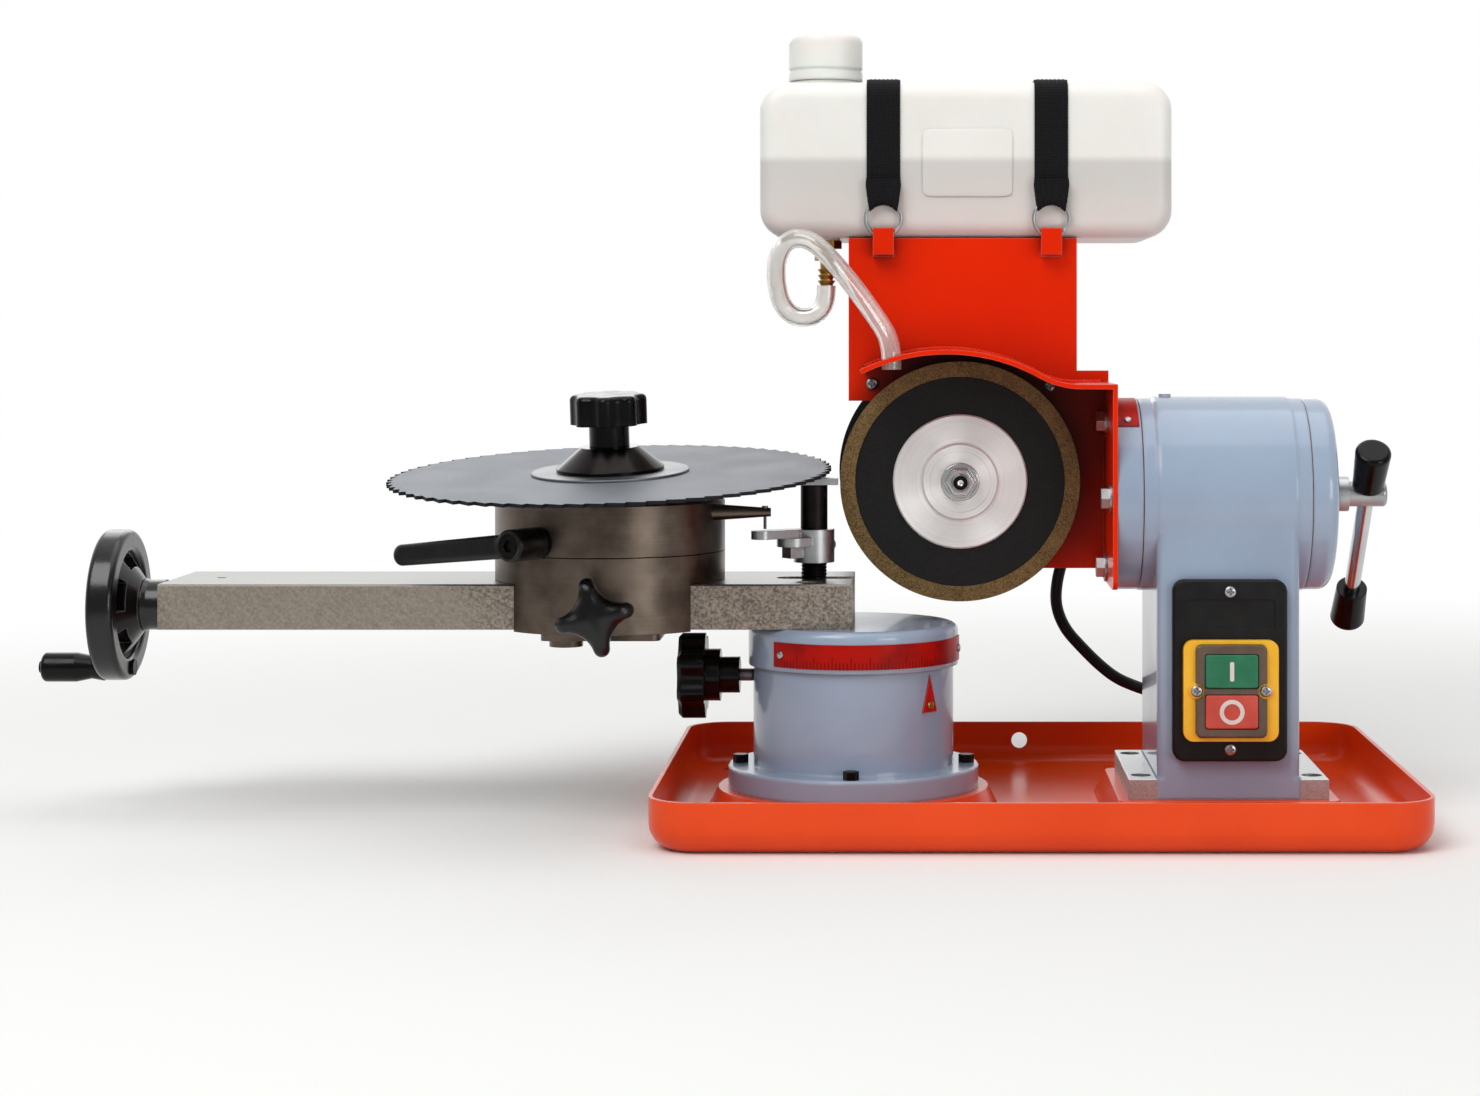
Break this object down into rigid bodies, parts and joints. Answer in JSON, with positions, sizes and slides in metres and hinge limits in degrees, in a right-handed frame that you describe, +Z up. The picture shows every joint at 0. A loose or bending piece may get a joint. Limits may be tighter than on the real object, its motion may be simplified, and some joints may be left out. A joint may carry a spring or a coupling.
{
  "type": "saw blade sharpener",
  "caption": "Bench grinder for circular saw blades: a slide carries the blade on a turntable to a wheel on a tilting motor head with coolant tank.",
  "frame": {"origin": "underside of the tray, at the middle of its four bench bolt holes", "axes": "+X to the operator's right along the guide bar, +Y to the back, +Z up"},
  "size_m": [0.7064, 0.2927, 0.4105],
  "materials": {
    "orange_paint": "gloss",
    "blue_grey_paint": "gloss",
    "black_oxide_steel": "satin",
    "ground_steel": "brushed",
    "zinc_steel": "zinc plated",
    "saw_steel": "satin",
    "black_plastic": "gloss",
    "matte_black_plastic": "matte",
    "black_cast_iron": "black gloss enamel",
    "chrome": "polished",
    "aluminium": "turned",
    "resin_core": "matte",
    "diamond_ring": "matte",
    "brass": "turned",
    "red_scale": "gloss",
    "yellow_plastic": "satin",
    "grey_plastic": "satin",
    "green_plastic": "gloss",
    "red_plastic": "gloss",
    "white_polyethylene": "satin translucent",
    "black_webbing": "woven",
    "clear_vinyl": "clear gloss",
    "black_rubber": "matte"
  },
  "bodies": {
    "base": {"base_tray": "orange_paint", "base_bolts": "zinc_steel", "turntable_base": "blue_grey_paint", "angle_pointer": "red_scale", "column": "blue_grey_paint", "switch_plate": "matte_black_plastic", "switch_frame": "yellow_plastic", "switch_bezel": "grey_plastic", "column_feet": "ground_steel", "lead_gland": "matte_black_plastic"},
    "turntable": {"turntable_top": "blue_grey_paint", "turntable_scale": "red_scale", "guide_bar": "ground_steel", "bar_bolts": "black_oxide_steel", "screw_bearing": "black_oxide_steel", "stop_post": "black_oxide_steel", "stop_finger": "zinc_steel"},
    "turntable_lock": {"lock_knob": "black_plastic"},
    "handwheel": {"handwheel": "black_cast_iron", "lead_screw": "zinc_steel", "crank_pin": "black_oxide_steel"},
    "crank": {"crank_grip": "black_plastic"},
    "saddle": {"saddle": "black_oxide_steel", "saddle_keeper": "black_oxide_steel", "lead_nut": "brass"},
    "saddle_lock": {"star_knob": "black_plastic"},
    "seat": {"seat": "black_oxide_steel", "blade_hub": "black_oxide_steel", "index_arm": "black_oxide_steel"},
    "lever": {"clamp_lever": "black_plastic", "lever_screw": "black_oxide_steel"},
    "blade": {"saw_blade": "saw_steel"},
    "blade_clamp": {"clamp_washer": "zinc_steel", "clamp_cone": "black_cast_iron", "clamp_knob": "black_plastic"},
    "tooth_stop": {"stop_collar": "zinc_steel"},
    "head": {"tilt_flange": "blue_grey_paint", "tilt_scale": "red_scale", "hood": "orange_paint", "hood_bolts": "zinc_steel", "motor_housing": "aluminium", "motor_fan_cover": "matte_black_plastic", "coolant_tank": "white_polyethylene", "tank_straps": "black_webbing", "strap_rings": "zinc_steel", "outlet_fitting": "brass", "coolant_hose": "clear_vinyl", "motor_lead": "black_rubber", "end_cap": "blue_grey_paint"},
    "wheel": {"motor_shaft": "zinc_steel", "wheel_core": "resin_core", "wheel_rim": "diamond_ring", "wheel_hub": "aluminium", "wheel_nut": "zinc_steel"},
    "tilt_clamp": {"clamp_screw": "chrome"},
    "tommy": {"tommy_bar": "chrome", "tommy_grips": "black_plastic"},
    "cap": {"tank_cap": "white_polyethylene"},
    "start": {"start_button": "green_plastic"},
    "stop": {"stop_button": "red_plastic"}
  },
  "joints": [
    {"name": "turntable_swivel", "type": "hinge", "parent": "base", "child": "turntable", "pos_m": [-0.093, -0.012, 0.0774], "axis": [0, 0, 1], "range_deg": [-10, 75]},
    {"name": "turntable_lock_turn", "type": "hinge", "parent": "base", "child": "turntable_lock", "pos_m": [-0.16, -0.012, 0.071], "axis": [1, 0, 0], "range_deg": [-360, 0]},
    {"name": "handwheel_turn", "type": "hinge", "parent": "turntable", "child": "handwheel", "pos_m": [-0.47, -0.012, 0.1074], "axis": [1, 0, 0], "range_deg": [-9504.5, 0.5]},
    {"name": "saddle_slide", "type": "slide", "parent": "turntable", "child": "saddle", "axis": [1, 0, 0], "range_m": [-0.132, 0]},
    {"name": "crank_grip_spin", "type": "hinge", "parent": "handwheel", "child": "crank", "pos_m": [-0.5, -0.012, 0.0749], "axis": [1, 0, 0], "continuous": true},
    {"name": "saddle_lock_turn", "type": "hinge", "parent": "saddle", "child": "saddle_lock", "pos_m": [-0.2195, -0.08, 0.1081], "axis": [0, -1, 0], "range_deg": [-360, 0]},
    {"name": "seat_swivel", "type": "hinge", "parent": "saddle", "child": "seat", "pos_m": [-0.2195, -0.012, 0.1363], "axis": [0, 0, 1], "range_deg": [-15, 8]},
    {"name": "clamp_lever_swing", "type": "hinge", "parent": "seat", "child": "lever", "pos_m": [-0.25607, -0.07168, 0.1431], "axis": [-0.5225, -0.8526, 0], "range_deg": [-15, 4]},
    {"name": "blade_spin", "type": "hinge", "parent": "seat", "child": "blade", "pos_m": [-0.2195, -0.012, 0.1753], "axis": [-0.0227, -0.0837, 0.9962], "continuous": true},
    {"name": "blade_clamp_turn", "type": "hinge", "parent": "seat", "child": "blade_clamp", "pos_m": [-0.2195, -0.012, 0.1753], "axis": [-0.0227, -0.0837, 0.9962], "range_deg": [0, 360]},
    {"name": "tooth_stop_swing", "type": "hinge", "parent": "turntable", "child": "tooth_stop", "pos_m": [-0.1135, -0.012, 0.138], "axis": [0, 0, 1], "range_deg": [-30, 30]},
    {"name": "head_tilt", "type": "hinge", "parent": "base", "child": "head", "pos_m": [0.061, -0.012, 0.165], "axis": [1, 0, 0], "range_deg": [-15, 15], "deforming": ["motor_lead"]},
    {"name": "wheel_spin", "type": "hinge", "parent": "head", "child": "wheel", "pos_m": [-0.0375, -0.01, 0.1715], "axis": [0, 1, 0], "continuous": true},
    {"name": "tilt_clamp_turn", "type": "hinge", "parent": "head", "child": "tilt_clamp", "pos_m": [0.16, -0.012, 0.165], "axis": [1, 0, 0], "range_deg": [-360, 0]},
    {"name": "tommy_bar_slide", "type": "slide", "parent": "tilt_clamp", "child": "tommy", "axis": [0, -0.682, 0.7314], "range_m": [0, 0.0664]},
    {"name": "tank_cap_turn", "type": "hinge", "parent": "head", "child": "cap", "pos_m": [-0.1095, 0.055, 0.4], "axis": [0, 0, 1], "range_deg": [0, 720]},
    {"name": "start_button_press", "type": "slide", "parent": "base", "child": "start", "axis": [0, 1, 0], "range_m": [0, 0.003], "stiffness_N_per_m": 500, "springref_m": -0.002},
    {"name": "stop_button_press", "type": "slide", "parent": "base", "child": "stop", "axis": [0, 1, 0], "range_m": [0, 0.003], "stiffness_N_per_m": 500, "springref_m": -0.002}
  ],
  "couplings": [
    {"joint": "handwheel_turn", "follows": "saddle_slide", "rad_per_m": 1256.6}
  ]
}
